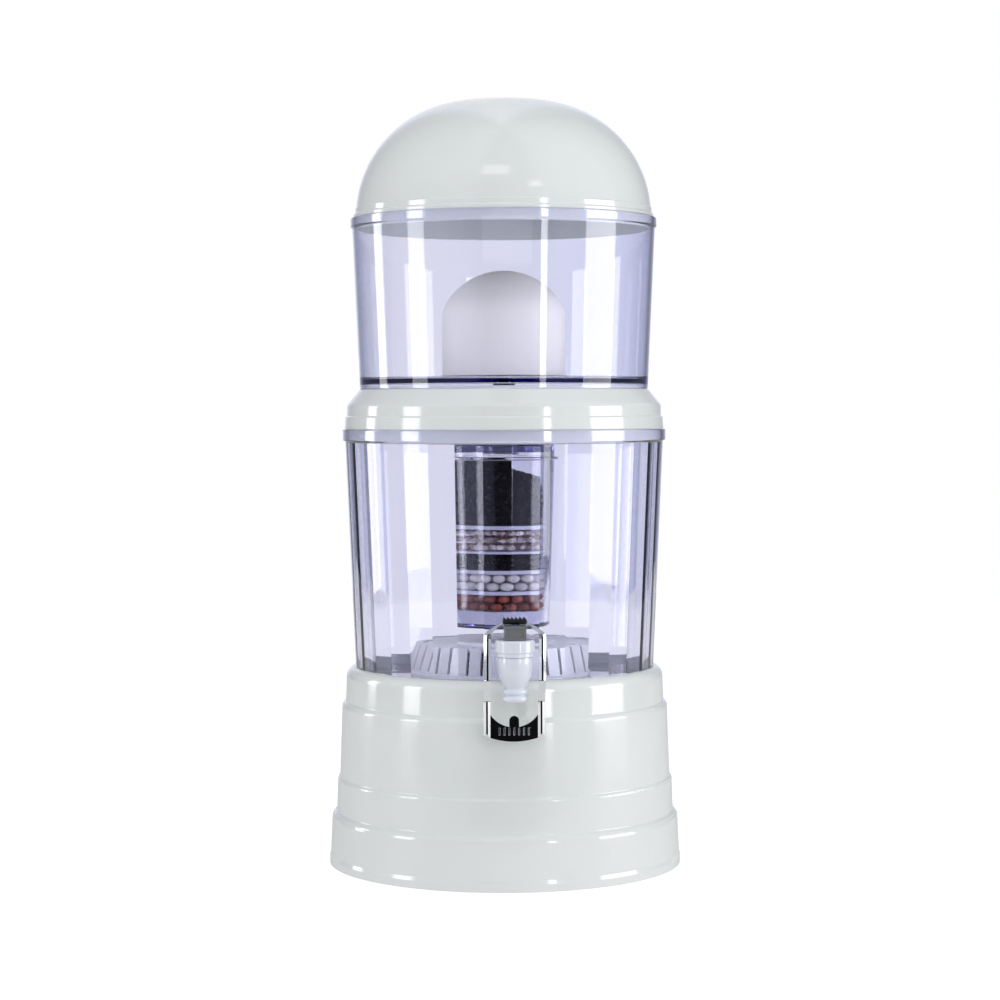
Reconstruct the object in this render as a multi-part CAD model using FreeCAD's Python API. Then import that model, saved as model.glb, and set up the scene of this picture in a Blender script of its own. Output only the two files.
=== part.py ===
import FreeCAD, Part
import math
import os

# Gravity water filter: a lidded upper tank with a ceramic dome drains through a separator
# and a hanging cartridge into a fluted lower tank, which stands on a stepped plinth.
# Millimetres. Z is up, the axis of the tanks is the Z axis, the plinth's foot is at Z = 0
# and the tap points along -Y.

# Stand: a hollow moulding whose side steps out three times on the way down
stand_h = 160.0
stand_wall = 2.8
stand_seat_depth = 11.0
stand_seat_gap = 0.5
stand_rim_w = 6.7
stand_deck_t = 3.0
stand_deck_hole_r = 92.0
stand_deck_rib = 6.0
stand_draft = 0.036
stand_band_1_h = 28.0
stand_band_2_h = 58.5
stand_band_3_h = 26.5
stand_step_1 = 2.9
stand_step_2 = 1.7
stand_step_3 = 3.7
stand_lip = 0.8
stand_lip_h = 9.0
stand_edge_round = 1.0
stand_bulge_round = 8.0
stand_rim_round = 8.5

# Lower tank: smooth outside, fluted inside
tank_h = 203.0
tank_foot_r = 120.8
tank_draft = 0.0432
tank_wall = 2.4
tank_floor_t = 3.0
tank_foot_round = 3.0
tank_flutes = 36
tank_rim_h = 10.0
tank_rim_out = 1.7
tank_mouth_wall = 1.5

# Separator: cone, band and plug, with a well for the wing nut and a collar for the cartridge
sep_h = 32.5
sep_wall = 2.6
sep_top_r = 117.0
sep_cone_h = 13.0
sep_band_r = 127.6
sep_step = 1.4
sep_step_h = 10.0
sep_plug_depth = 9.0
sep_plug_gap = 0.4
sep_seat_h = 2.2
sep_seat_gap = 0.5
sep_well_r = 34.0
sep_collar_r = 46.5
sep_spigot_r = 12.0
sep_spigot_bore_r = 8.0
sep_spigot_h = 8.0

# Cartridge: clear tapered cup, filled from below with a pad and five beds
cup_h = 138.0
cup_clear = 9.0
cup_top_r = 41.0
cup_foot_r = 37.9
cup_wall = 2.0
cup_floor_t = 3.7
cup_flange_r = 42.5
cup_flange_t = 2.0
cup_hole_r = 2.2
cup_hole_ring_r = 22.0
cup_holes = 8
cap_h = 10.0
cap_t = 2.6
cap_gap = 0.3
spigot_gap = 0.3
gasket_t = 2.0
gasket_in_r = 18.0
gasket_w = 6.0
bed_gap = 0.15
pad_h = 10.2
red_bed_h = 13.5
disc_1_t = 2.8
white_bed_h = 14.0
disc_2_t = 2.8
lower_carbon_h = 13.5
disc_3_t = 1.8
stone_bed_h = 17.7
disc_4_t = 3.0
carbon_head = 2.0
carbon_slope = 22.0

# Mineral case: louvred tray on the floor of the lower tank
case_flange_r = 75.0
case_flange_h = 5.0
case_foot_r = 72.5
case_lean = 3.0
case_slat_h = 21.8
case_wall = 2.2
case_slats = 48
case_slot_w = 1.9
case_lid_t = 2.2
case_cover_r = 40.0
case_cover_t = 2.2
case_cover_lip = 3.0
case_cover_skirt = 4.0
case_cover_drop = 0.6
case_grip_h = 2.2
case_grip_w = 2.6
case_fit = 0.3
stone_fill_h = 15.0

# Upper tank: smooth tapered wall on a foot skirt
upper_h = 137.5
upper_foot_r = 117.0
upper_draft = 0.0435
upper_wall = 2.4
upper_floor_rise = 4.5
upper_floor_t = 3.0
upper_rim_h = 8.0
upper_rim_out = 1.0
stem_hole_gap = 0.3

# Ceramic dome on its flanged base with the hollow threaded stem
dome_r = 50.0
dome_side_h = 45.0
dome_shoulder_r = 30.0
dome_crown_r = 55.0
dome_wall = 8.0
base_r = 51.5
base_t = 2.2
base_plug_h = 5.0
base_plug_gap = 0.2
stem_r = 5.0
stem_bore_r = 3.0
stem_drop = 17.0
washer_r = 14.0
washer_t = 1.2
nut_h = 10.0
nut_hub_r = 9.0
nut_wing_r = 19.0
nut_wing_t = 3.2
nut_bore_gap = 0.05

# Lid: domed cover with a plug that drops into the upper tank
lid_wall = 2.4
lid_flange_r = 121.6
lid_flange_t = 3.2
lid_side_r = 119.7
lid_shoulder_r = 92.9
lid_crown_r = 463.5
lid_bead_h = 5.0
lid_bead = 0.5
lid_plug_depth = 9.0
lid_plug_gap = 0.5

# Tap: body with its shank through the tank's wall
tap_rise = 27.0
tap_reach = 44.4
pad_r = 13.0
pad_out = 1.3
pad_in = 1.3
shank_r = 6.0
shank_hole_gap = 0.2
shank_in = 15.0
shank_bore_r = 3.5
tap_arm_r = 7.0
tap_collar_r = 12.5
tap_collar_t = 3.0
outer_gasket_r = 11.5
outer_gasket_t = 2.0
inner_gasket_r = 11.0
inner_gasket_t = 1.6
tap_nut_r = 12.0
tap_nut_t = 6.0
tap_belly_r = 13.3
tap_belly_h = 23.0
tap_neck_r = 7.8
tap_bead_r = 9.1
tap_bead_h = 4.8
tap_groove_h = 0.5
tap_groove_in = 0.3
tap_top = 7.0
tap_thread_r = 12.6
tap_thread_h = 6.0
chamber_r = 9.0
seat_drop = 8.0
spout_bore_r = 5.0
bonnet_r = 15.0
bonnet_h = 13.0
bonnet_top_t = 2.5
bonnet_ring_h = 3.6
bonnet_ring_in = 0.7
bonnet_fit = 0.3

# Valve inside the tap
valve_stem_r = 3.0
valve_run = 0.06
plug_r = 8.4
plug_h = 7.7
plug_socket_h = 5.0
plug_socket_gap = 0.05
seat_flange_r = 7.6
seat_flange_t = 1.5
spring_wire_r = 0.6
spring_r = 5.6
spring_turns = 5

# Lever: clevis block, pin, thumb grip and the U-shaped frame with its push plate
pin_rise = 7.3
pin_r = 1.5
pin_run = 0.05
eye_r = 2.6
eye_w = 5.0
block_w = 16.4
block_front = 8.5
block_back = 5.5
block_lift = 0.3
block_slot_gap = 0.3
block_slot_front = 5.2
block_panel_w = 12.6
block_panel_h = 6.6
block_panel_deep = 0.8
frame_w = 46.4
frame_bar = 5.2
frame_deep = 5.0
frame_band = 3.0
frame_top_gap = 0.4
frame_drop_1 = 38.7
frame_drop_2 = 54.3
frame_side_drop = 81.0
frame_plate_drop = 85.9
frame_kink = 14.0
frame_shoulder = 0.62
frame_bend_round = 2.0
frame_corner_round = 6.0
frame_window_round = 4.0
frame_bevel_w = 1.9
frame_bevel_deep = 1.4
plate_horn_drop = 65.3
plate_dip = 9.7
plate_tab_r = 3.7
plate_tab_drop = 70.0
plate_recess = 1.6
grip_w = 18.0
grip_deep = 10.0
grip_base = 1.3
grip_tooth_h = 2.2
grip_teeth = 6
grip_side = 0.6

# Heights that follow from the stack
deck_z = stand_h - stand_seat_depth
tank_floor_z = deck_z + tank_floor_t
tank_top_z = deck_z + tank_h
sep_top_z = tank_top_z + sep_h
case_top_z = tank_floor_z + case_flange_h + case_slat_h
case_lid_z = case_top_z - case_cover_drop
cup_foot_z = case_lid_z + case_cover_t + case_grip_h + cup_clear
cup_top_z = cup_foot_z + cup_h
cap_top_z = cup_top_z + cap_h
collar_z = cap_top_z + cap_gap
upper_floor_z = sep_top_z + upper_floor_rise + upper_floor_t
upper_top_z = sep_top_z + upper_h
tap_z = deck_z + tap_rise


def vec(x, y, z):
    return FreeCAD.Vector(x, y, z)


def tank_r(z):
    """Outer radius of the lower tank's wall at height z."""
    return tank_foot_r + (z - deck_z) * tank_draft


def upper_r(z):
    """Outer radius of the upper tank's wall at height z."""
    return upper_foot_r + (z - sep_top_z) * upper_draft


def cup_r(z):
    """Outer radius of the cartridge's cup at height z."""
    return cup_foot_r + (z - cup_foot_z) * (cup_top_r - cup_foot_r) / cup_h


def rounded_wire(corners, plane):
    """Closed wire through (u, v, radius) corners; plane places u and v in space."""
    edges = []
    count = len(corners)
    ends = []
    for i in range(count):
        before = plane(*corners[i - 1][:2])
        here = plane(*corners[i][:2])
        after = plane(*corners[(i + 1) % count][:2])
        into = (here - before).normalize()
        out = (after - here).normalize()
        radius = corners[i][2]
        turn = into.getAngle(out)
        if radius > 0 and turn > 1e-4:
            cut = radius * math.tan(turn / 2)
            start = here - into * cut
            end = here + out * cut
            inward = (out - into).normalize()
            middle = here + inward * (radius / math.cos(turn / 2) - radius)
            edges.append(Part.Arc(start, middle, end).toShape())
            ends.append((start, end))
        else:
            edges.append(None)
            ends.append((here, here))
    path = []
    for i in range(count):
        start = ends[i - 1][1]
        end = ends[i][0]
        if (end - start).Length > 1e-6:
            path.append(Part.LineSegment(start, end).toShape())
        if edges[i] is not None:
            path.append(edges[i])
    return Part.Wire(Part.__sortEdges__(path))


def turned(corners, y=0.0):
    """Solid of revolution about the vertical line at (0, y), from (radius, height, round) corners."""
    wire = rounded_wire(corners, lambda u, v: vec(u, y, v))
    return Part.Face(wire).revolve(vec(0, y, 0), vec(0, 0, 1), 360)


def turned_wire(edges, y=0.0):
    """Solid of revolution about the vertical line at (0, y), from ready edges."""
    wire = Part.Wire(Part.__sortEdges__(edges))
    return Part.Face(wire).revolve(vec(0, y, 0), vec(0, 0, 1), 360)


def disc(radius, z, height, y=0.0):
    return Part.makeCylinder(radius, height, vec(0, y, z), vec(0, 0, 1))


def bar(radius, y_from, y_to, z):
    """Round bar along Y, between two places on the tap's horizontal axis."""
    low = min(y_from, y_to)
    return Part.makeCylinder(radius, abs(y_to - y_from), vec(0, low, z), vec(0, 1, 0))


def block(x_half, y_from, y_to, z_from, z_to):
    """Box centred on X between two places along Y and two heights."""
    corner = vec(-x_half, y_from, z_from)
    return Part.makeBox(2 * x_half, y_to - y_from, z_to - z_from, corner)


def front_plate(corners, y_from, y_to):
    """Plate seen from the front: an outline in X and Z, with depth along Y."""
    wire = rounded_wire(corners, lambda u, v: vec(u, y_from, v))
    return Part.Face(wire).extrude(vec(0, y_to - y_from, 0))


def line(a, b):
    return Part.LineSegment(a, b).toShape()


def crown_edges(side_r, side_z, shoulder_r, crown_r):
    """Two tangent arcs from a side wall's top up to the axis: a shoulder, then a flatter crown."""
    reach = crown_r - shoulder_r
    inset = side_r - shoulder_r
    centre_z = side_z - math.sqrt(reach ** 2 - inset ** 2)
    lean = math.asin(inset / reach)
    low = (math.pi / 2 - lean) / 2
    start = vec(side_r, 0, side_z)
    middle = vec(inset + shoulder_r * math.cos(low), 0, side_z + shoulder_r * math.sin(low))
    joint = vec(crown_r * math.sin(lean), 0, centre_z + crown_r * math.cos(lean))
    upper = vec(crown_r * math.sin(lean / 2), 0, centre_z + crown_r * math.cos(lean / 2))
    apex = vec(0, 0, centre_z + crown_r)
    return [Part.Arc(start, middle, joint).toShape(), Part.Arc(joint, upper, apex).toShape()], apex.z


def ring_of_holes(shape, radius, ring_r, count, z, height):
    """Shape with vertical round holes spaced evenly on a ring."""
    holes = []
    for i in range(count):
        angle = 2 * math.pi * i / count
        place = vec(ring_r * math.cos(angle), ring_r * math.sin(angle), z)
        holes.append(Part.makeCylinder(radius, height, place, vec(0, 0, 1)))
    return shape.cut(Part.makeCompound(holes))


# Stand
def stand_side(inset):
    """Corners of the stepped side from the rim down to the foot, moved in by inset."""
    radius = tank_r(stand_h) + stand_seat_gap + stand_rim_w
    z = stand_h
    bands = (stand_band_1_h, stand_band_2_h, stand_band_3_h)
    steps = (stand_step_1, stand_step_2, stand_step_3)
    corners = [(radius - inset, z, stand_rim_round)]
    for height, step in zip(bands, steps):
        z -= height
        radius += height * stand_draft
        corners.append((radius - inset, z, stand_edge_round))
        ledge = step * 0.9
        corners.append((radius + step - inset, z - ledge, min(stand_bulge_round, step * 1.6)))
        radius += step
        z -= ledge
    radius += z * stand_draft
    corners.append((radius - inset, stand_lip_h, 0))
    corners.append((radius + stand_lip - inset, stand_lip_h - 3, 1.5))
    corners.append((radius + stand_lip - inset, 0, 0))
    return corners


def make_stand():
    outer = stand_side(0)
    inner = stand_side(stand_wall)[1:]
    seat_r = tank_r(stand_h) + stand_seat_gap
    under_z = deck_z - stand_deck_t
    inner_top = (outer[0][0] - stand_wall, under_z, 2.0)
    corners = outer + inner[::-1] + [
        inner_top,
        (stand_deck_hole_r + stand_wall, under_z, 1.0),
        (stand_deck_hole_r + stand_wall, under_z - stand_deck_rib, 0),
        (stand_deck_hole_r, under_z - stand_deck_rib, 0),
        (stand_deck_hole_r, deck_z, 1.0),
        (seat_r, deck_z, 0.5),
        (seat_r, stand_h, 1.0),
    ]
    return turned(corners)


# Lower tank
def tank_cavity():
    """Tapered fluted space: one flat for each flute, a corner in line with the tap."""
    rings = []
    mouth_z = tank_top_z - tank_rim_h
    for z in (tank_floor_z, mouth_z):
        radius = tank_r(z) - tank_wall
        points = []
        for i in range(tank_flutes + 1):
            angle = -math.pi / 2 + 2 * math.pi * i / tank_flutes
            points.append(vec(radius * math.cos(angle), radius * math.sin(angle), z))
        rings.append(Part.makePolygon(points))
    fluted = Part.makeLoft(rings, True, True)
    mouth = disc(tank_r(mouth_z) - tank_mouth_wall, mouth_z, tank_rim_h + 1)
    return fluted.fuse(mouth)


def pad_face_out():
    return -(tank_r(tap_z) + pad_out)


def pad_face_in():
    return -(tank_r(tap_z) - tank_wall - pad_in)


def make_lower_tank():
    rim_r = tank_r(tank_top_z) + tank_rim_out
    rim_z = tank_top_z - tank_rim_h
    body = turned([
        (0, deck_z, 0),
        (tank_foot_r, deck_z, tank_foot_round),
        (tank_r(rim_z), rim_z, 1.2),
        (rim_r, rim_z + 1.5, 1.2),
        (rim_r, tank_top_z, 0.8),
        (0, tank_top_z, 0),
    ])
    shell = body.cut(tank_cavity())
    pad = bar(pad_r, pad_face_out(), pad_face_in(), tap_z)
    hole = bar(shank_r + shank_hole_gap, pad_face_out() - 1, pad_face_in() + 1, tap_z)
    return shell.fuse(pad).cut(hole).removeSplitter()


# Tap
def spout_y():
    return pad_face_out() - tap_reach


def belly_top_z():
    return tap_z + tap_top


def belly_foot_z():
    return belly_top_z() - tap_belly_h


def spout_end_z():
    return belly_foot_z() - 2 * (tap_bead_h + tap_groove_h)


def seat_z():
    return tap_z - seat_drop


def bonnet_top_z():
    return belly_top_z() + bonnet_h


def make_tap_body():
    y = spout_y()
    top = belly_top_z()
    foot = belly_foot_z()
    thread_top = top + tap_thread_h
    groove_r = tap_neck_r - tap_groove_in
    z = spout_end_z()
    start = vec(groove_r, y, z)
    edges = [line(vec(0, y, z), start)]
    for _ in range(2):
        bulge = vec(tap_bead_r, y, z + tap_bead_h / 2)
        end = vec(groove_r, y, z + tap_bead_h)
        edges.append(Part.Arc(start, bulge, end).toShape())
        z += tap_bead_h + tap_groove_h
        start = vec(groove_r, y, z)
        edges.append(line(end, start))
    belly = vec(tap_belly_r * 0.93, y, foot + tap_belly_h * 0.45)
    shoulder = vec(tap_belly_r, y, top)
    edges.append(Part.Arc(start, belly, shoulder).toShape())
    edges.append(line(shoulder, vec(tap_thread_r, y, top)))
    edges.append(line(vec(tap_thread_r, y, top), vec(tap_thread_r, y, thread_top)))
    edges.append(line(vec(tap_thread_r, y, thread_top), vec(0, y, thread_top)))
    edges.append(line(vec(0, y, thread_top), vec(0, y, spout_end_z())))
    goblet = turned_wire(edges, y)
    collar_face = pad_face_out() - outer_gasket_t
    collar = bar(tap_collar_r, collar_face, collar_face - tap_collar_t, tap_z)
    arm = bar(tap_arm_r, collar_face, y, tap_z)
    shank_end = pad_face_in() + shank_in
    shank = bar(shank_r, y, shank_end, tap_z)
    chamber = disc(chamber_r, seat_z(), thread_top - seat_z() + 1, y)
    spout = disc(spout_bore_r, spout_end_z() - 1, seat_z() - spout_end_z() + 2, y)
    feed = bar(shank_bore_r, y, shank_end + 1, tap_z)
    solid = goblet.fuse([collar, arm, shank])
    return solid.cut(Part.makeCompound([chamber, spout])).cut(feed).removeSplitter()


def make_bonnet():
    top = bonnet_top_z()
    foot = belly_top_z()
    bore_r = tap_thread_r + bonnet_fit
    ring_r = bonnet_r - bonnet_ring_in
    hole_r = valve_stem_r + valve_run
    return turned([
        (bore_r, foot + 0.3, 0.3),
        (ring_r, foot + 0.3, 0.8),
        (ring_r, foot + bonnet_ring_h, 0.3),
        (bonnet_r, foot + bonnet_ring_h + 0.3, 0.6),
        (bonnet_r, top, 1.6),
        (hole_r, top, 0),
        (hole_r, top - bonnet_top_t, 0),
        (bore_r, top - bonnet_top_t, 0.5),
    ], spout_y())


def flat_ring(outer_r, hole_r, y_from, y_to):
    """Gasket or nut blank on the shank."""
    ring = bar(outer_r, y_from, y_to, tap_z)
    return ring.cut(bar(hole_r, y_from - 1, y_to + 1, tap_z))


def make_outer_gasket():
    face = pad_face_out()
    return flat_ring(outer_gasket_r, shank_r + shank_hole_gap, face - outer_gasket_t, face)


def make_inner_gasket():
    face = pad_face_in()
    return flat_ring(inner_gasket_r, shank_r + shank_hole_gap, face, face + inner_gasket_t)


def make_tap_nut():
    """Hexagon nut on the shank, with its corners turned off on the face away from the wall."""
    start = pad_face_in() + inner_gasket_t
    points = []
    for i in range(7):
        angle = math.pi / 6 + i * math.pi / 3
        points.append(vec(tap_nut_r * math.cos(angle), start, tap_z + tap_nut_r * math.sin(angle)))
    hexagon = Part.Face(Part.makePolygon(points)).extrude(vec(0, tap_nut_t, 0))
    turned_blank = Part.makeCone(
        tap_nut_r + tap_nut_t, tap_nut_r * 0.93, tap_nut_t, vec(0, start, tap_z), vec(0, 1, 0)
    )
    bore = bar(shank_r + plug_socket_gap, start - 1, start + tap_nut_t + 1, tap_z)
    return hexagon.common(turned_blank).cut(bore)


# Valve
def pin_z():
    return bonnet_top_z() + pin_rise


def make_valve_plug():
    z = seat_z()
    return turned([
        (0, z, 0),
        (plug_r - 1.4, z, 0),
        (plug_r, z + 1.6, 0.5),
        (plug_r, z + plug_h, 0.6),
        (valve_stem_r + plug_socket_gap, z + plug_h, 0),
        (valve_stem_r + plug_socket_gap, z + plug_h - plug_socket_h, 0),
        (0, z + plug_h - plug_socket_h, 0),
    ], spout_y())


def make_valve_stem():
    """Round stem with the spring's flange, and a flat eye that carries the lever's pin."""
    y = spout_y()
    foot = seat_z() + plug_h - plug_socket_h
    flange_z = seat_z() + plug_h
    shoulder = pin_z() - eye_r - 0.6
    shaft = disc(valve_stem_r, foot, shoulder - foot, y)
    flange = disc(seat_flange_r, flange_z, seat_flange_t, y)
    neck = block(eye_w / 2, y - eye_r, y + eye_r, shoulder, pin_z())
    eye = Part.makeCylinder(eye_r, eye_w, vec(-eye_w / 2, y, pin_z()), vec(1, 0, 0))
    hole = Part.makeCylinder(pin_r + pin_run, eye_w + 2, vec(-eye_w / 2 - 1, y, pin_z()), vec(1, 0, 0))
    return shaft.fuse([flange, neck, eye]).cut(hole).removeSplitter()


def arc_to(start, control, end):
    """Arc from start to end whose end tangents meet at control."""
    middle = (start + end) * 0.5
    half = (end - start).Length / 2
    height = (control - middle).Length
    radius = half * math.hypot(half, height) / height
    rise = radius - math.sqrt(radius ** 2 - half ** 2)
    return Part.Arc(start, middle + (control - middle) * (rise / height), end).toShape()


def helix_path(radius, pitch, turns, y, z):
    """Rising coil as smooth pairs of arcs, one pair for each quarter turn."""
    edges = []
    climb = pitch / (2 * math.pi)

    def at(angle):
        place = vec(radius * math.cos(angle), y + radius * math.sin(angle), z + climb * angle)
        heading = vec(-radius * math.sin(angle), radius * math.cos(angle), climb)
        return place, heading.normalize()

    for i in range(4 * turns):
        start, leave = at(i * math.pi / 2)
        end, arrive = at((i + 1) * math.pi / 2)
        span = end - start
        both = leave + arrive
        a = both.dot(both) - 4
        b = -2 * span.dot(both)
        reach = (-b - math.sqrt(b * b - 4 * a * span.dot(span))) / (2 * a)
        first = start + leave * reach
        second = end - arrive * reach
        joint = (first + second) * 0.5
        edges.append(arc_to(start, first, joint))
        edges.append(arc_to(joint, second, end))
    return Part.Wire(edges)


def make_spring():
    y = spout_y()
    low = seat_z() + plug_h + seat_flange_t + spring_wire_r
    high = bonnet_top_z() - bonnet_top_t - spring_wire_r
    pitch = (high - low) / spring_turns
    path = helix_path(spring_r, pitch, spring_turns, y, low)
    heading = vec(0, spring_r, pitch / (2 * math.pi))
    section = Part.Wire(Part.makeCircle(spring_wire_r, vec(spring_r, y, low), heading))
    print("least gap between the spring's turns, mm:", round(pitch - 2 * spring_wire_r, 2))
    return path.makePipeShell([section], True, False)


# Lever
def block_foot_z():
    return bonnet_top_z() + block_lift


def arch_z():
    """Underside of the frame's arch, which closes the block's slot."""
    return pin_z() + eye_r + frame_top_gap


def make_lever_block():
    y = spout_y()
    low = block_foot_z()
    high = arch_z()
    body = block(block_w / 2, y - block_front, y + block_back, low, high)
    slot_half = max(eye_w / 2, valve_stem_r) + block_slot_gap
    slot = block(slot_half, y - block_slot_front, y + block_back + 1, low - 1, high + 1)
    middle_z = (low + high) / 2
    panel = block(
        block_panel_w / 2, y - block_front - 1, y - block_front + block_panel_deep,
        middle_z - block_panel_h / 2, middle_z + block_panel_h / 2,
    )
    hole = Part.makeCylinder(
        pin_r + pin_run, block_w + 2, vec(-block_w / 2 - 1, y, pin_z()), vec(1, 0, 0)
    )
    return body.cut(Part.makeCompound([slot, panel])).cut(hole)


def make_lever_pin():
    length = block_w - 0.6
    return Part.makeCylinder(pin_r, length, vec(-length / 2, spout_y(), pin_z()), vec(1, 0, 0))


def make_thumb_grip():
    """Serrated rest for the thumb: a row of saw teeth across the top of the arch."""
    y = spout_y() - frame_deep / 2
    low = arch_z() + frame_band
    pitch = grip_w / grip_teeth
    corners = [(-grip_w / 2, low, 0), (grip_w / 2, low, 0), (grip_w / 2, low + grip_base, 0)]
    for i in range(grip_teeth):
        right = grip_w / 2 - i * pitch
        corners.append((right - pitch * 0.75, low + grip_base + grip_tooth_h, 0))
        corners.append((right - pitch, low + grip_base, 0))
    return front_plate(corners, y, y + grip_deep)


def frame_band_solid():
    """Sheet of the frame's thickness, bent back twice as seen from the side."""
    y = spout_y() - frame_deep / 2
    top = arch_z() + frame_band
    bend = pin_z() - frame_drop_1
    flat = pin_z() - frame_drop_2
    low = pin_z() - frame_plate_drop - 1
    corners = [
        (y, top, 0), (y, bend, frame_bend_round),
        (y + frame_kink, flat, frame_bend_round), (y + frame_kink, low, 0),
        (y + frame_kink + frame_deep, low, 0), (y + frame_kink + frame_deep, flat, frame_bend_round),
        (y + frame_deep, bend, frame_bend_round), (y + frame_deep, top, 0),
    ]
    wire = rounded_wire(corners, lambda u, v: vec(-frame_w, u, v))
    return Part.Face(wire).extrude(vec(2 * frame_w, 0, 0))


def frame_blank(half_w, top_z, arch_half, side_z, low_z, corner_r, y_from, y_to):
    """Front view of an arched opening or plate whose foot is an arc through low_z."""
    left = vec(-half_w, y_from, side_z)
    right = vec(half_w, y_from, side_z)
    shoulder_z = top_z - (half_w - arch_half) * frame_shoulder
    foot = Part.Arc(right, vec(0, y_from, low_z), left).toShape()
    corners = [
        (-half_w, side_z, 0), (half_w, side_z, 0), (half_w, shoulder_z, corner_r),
        (arch_half, top_z, corner_r), (-arch_half, top_z, corner_r), (-half_w, shoulder_z, corner_r),
    ]
    wire = rounded_wire(corners, lambda u, v: vec(u, y_from, v))
    sides = [e for e in wire.Edges if (e.CenterOfMass - (left + right) * 0.5).Length > 1e-3]
    face = Part.Face(Part.Wire(Part.__sortEdges__(sides + [foot])))
    return face.extrude(vec(0, y_to - y_from, 0))


def slope_between(outline, inset, y):
    """Solid between an outline set back by the bevel's depth and its offset in the front plane."""
    front = outline.makeOffset2D(-inset)
    back = outline.copy()
    back.translate(vec(0, frame_bevel_deep, 0))
    return Part.makeLoft([front, back], True, True)


def bevel_tool(outline, window, y, z_from, z_to):
    """What the bevels take from one flat stretch of the frame, whose front lies at y."""
    slab = block(frame_w, y, y + frame_bevel_deep, z_from, z_to)
    beside = slab.cut(slope_between(outline, frame_bevel_w, y))
    inside = slope_between(window, -frame_bevel_w, y).common(slab)
    return beside.fuse(inside)


def bevel_front(frame, blank, y):
    """Frame with sloped front edges above and below its bent stretch."""
    inner_w = frame_w / 2 - frame_bar
    grip_half = grip_w / 2 + grip_side
    low = pin_z() - frame_plate_drop - 2 * frame_bar
    shoulder_z = arch_z() - (inner_w - grip_half) * frame_shoulder
    corners = [
        (-inner_w, low, frame_window_round), (inner_w, low, frame_window_round),
        (inner_w, shoulder_z, frame_window_round), (grip_half, arch_z(), frame_window_round),
        (-grip_half, arch_z(), frame_window_round), (-inner_w, shoulder_z, frame_window_round),
    ]
    window = rounded_wire(corners, lambda u, v: vec(u, y, v))
    front_face = min(blank.Faces, key=lambda face: face.CenterOfMass.y)
    outline = front_face.OuterWire
    outline.translate(vec(0, y - front_face.CenterOfMass.y, 0))
    bend = pin_z() - frame_drop_1 + frame_bend_round / 2
    flat = pin_z() - frame_drop_2 - frame_bend_round / 2
    upper = bevel_tool(outline, window, y, bend, arch_z() + frame_band + 1)
    lower = bevel_tool(outline, window, y, low, flat)
    lower.translate(vec(0, frame_kink, 0))
    return frame.cut(Part.makeCompound([upper, lower]))


def make_lever_frame():
    y = spout_y() - frame_deep / 2
    front = y - 2
    back = y + frame_kink + frame_deep + 2
    inner_w = frame_w / 2 - frame_bar
    top = arch_z() + frame_band
    side_z = pin_z() - frame_side_drop
    plate_low = pin_z() - frame_plate_drop
    horn_z = pin_z() - plate_horn_drop
    grip_half = grip_w / 2 + grip_side
    outer = frame_blank(
        frame_w / 2, top, grip_half, side_z, plate_low, frame_corner_round, front, back
    )
    window = frame_blank(
        inner_w, arch_z(), grip_half, horn_z, horn_z - plate_dip, frame_window_round,
        front - 1, back + 1,
    )
    sheet = frame_band_solid().common(outer).cut(window)
    plate_y = y + frame_kink
    tab_z = pin_z() - plate_tab_drop
    tab_foot = horn_z - plate_dip - 2
    tab = Part.makeCylinder(plate_tab_r, frame_deep, vec(0, plate_y, tab_z), vec(0, 1, 0))
    tab_root = block(plate_tab_r, plate_y, plate_y + frame_deep, tab_foot, tab_z)
    recess = block(inner_w, plate_y - 1, plate_y + plate_recess, plate_low - 1, horn_z + 1)
    frame = sheet.fuse([tab, tab_root]).cut(recess).removeSplitter()
    return bevel_front(frame, outer, y)


# Mineral case
def case_ring_r(z):
    """Outer radius of the leaning slats at height z."""
    return case_foot_r - case_lean * (z - tank_floor_z - case_flange_h) / case_slat_h


def make_case_tray():
    """Tray with a crown of slats: one tapered ring slotted from the top down to the flange."""
    foot = tank_floor_z
    ring_z = foot + case_flange_h
    top = case_top_z
    floor_t = case_wall
    tray = turned([
        (0, foot, 0),
        (case_flange_r, foot, 1.2),
        (case_flange_r, ring_z, 2.4),
        (case_ring_r(ring_z), ring_z, 0),
        (case_ring_r(top), top, 0.6),
        (case_ring_r(top) - case_wall, top, 0),
        (case_ring_r(ring_z) - case_wall, foot + floor_t, 0),
        (0, foot + floor_t, 0),
    ])
    slots = []
    for i in range(case_slats):
        slot = Part.makeBox(
            case_flange_r, case_slot_w, case_slat_h + 2,
            vec(case_foot_r - case_lean - 2 * case_wall, -case_slot_w / 2, ring_z + 0.6),
        )
        slot.rotate(vec(0, 0, 0), vec(0, 0, 1), (i + 0.5) * 360.0 / case_slats)
        slots.append(slot)
    return tray.cut(Part.makeCompound(slots))


def make_case_lid():
    """Top plate inside the crown of slats, with a round filling hole and a seating rim."""
    top = case_lid_z
    hole_r = case_cover_r - case_cover_lip
    edge_r = case_ring_r(top) - case_wall - case_fit
    return turned([
        (hole_r, top - case_lid_t - case_cover_skirt, 0),
        (hole_r + case_wall, top - case_lid_t - case_cover_skirt, 0),
        (hole_r + case_wall, top - case_lid_t, 0.8),
        (edge_r, top - case_lid_t, 0),
        (edge_r, top, 0.8),
        (hole_r, top, 0),
    ])


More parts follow.
